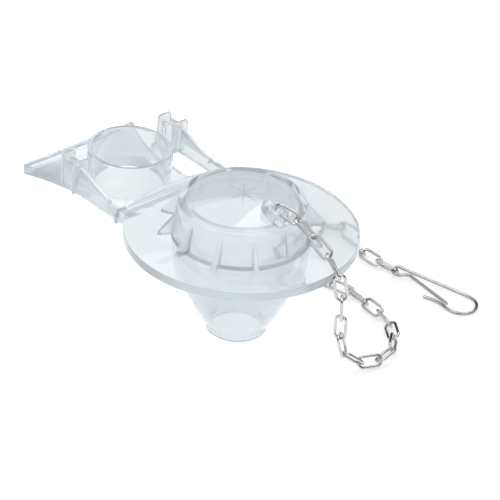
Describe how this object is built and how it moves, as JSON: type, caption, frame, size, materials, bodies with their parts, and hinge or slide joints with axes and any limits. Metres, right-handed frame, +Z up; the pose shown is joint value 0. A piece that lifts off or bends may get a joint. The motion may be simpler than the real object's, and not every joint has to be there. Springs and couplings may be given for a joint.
{
  "type": "toilet flapper",
  "caption": "Clear moulded toilet tank flapper: plate and collar for the overflow tube, sealing disc with dome and bowl float, lift chain and spring clip.",
  "frame": {"origin": "on the axis of the overflow tube's collar, 1.2 mm above the plate's underside", "axes": "+Z up along the collar's axis, +X from the collar to the middle of the sealing disc"},
  "size_m": [0.1531, 0.1307, 0.0653],
  "materials": {
    "clear_plastic": "clear flexible vinyl, glossy",
    "chain_steel": "bright stainless wire",
    "clip_wire": "bright stainless spring wire"
  },
  "bodies": {
    "root": {"flapper_body": "clear_plastic", "chain_link_01": "chain_steel", "chain_link_02": "chain_steel", "chain_link_03": "chain_steel", "chain_link_04": "chain_steel", "chain_link_05": "chain_steel", "chain_link_06": "chain_steel", "chain_link_07": "chain_steel", "chain_link_08": "chain_steel", "chain_link_09": "chain_steel", "chain_link_10": "chain_steel", "chain_link_11": "chain_steel", "chain_link_12": "chain_steel", "chain_link_13": "chain_steel", "chain_link_14": "chain_steel", "chain_link_15": "chain_steel", "chain_link_16": "chain_steel", "chain_link_17": "chain_steel", "chain_link_18": "chain_steel", "chain_link_19": "chain_steel", "chain_link_20": "chain_steel", "chain_link_21": "chain_steel", "chain_link_22": "chain_steel", "chain_link_23": "chain_steel", "chain_link_24": "chain_steel", "chain_link_25": "chain_steel", "chain_link_26": "chain_steel", "chain_link_27": "chain_steel", "chain_link_28": "chain_steel", "spring_clip": "clip_wire"}
  },
  "joints": []
}
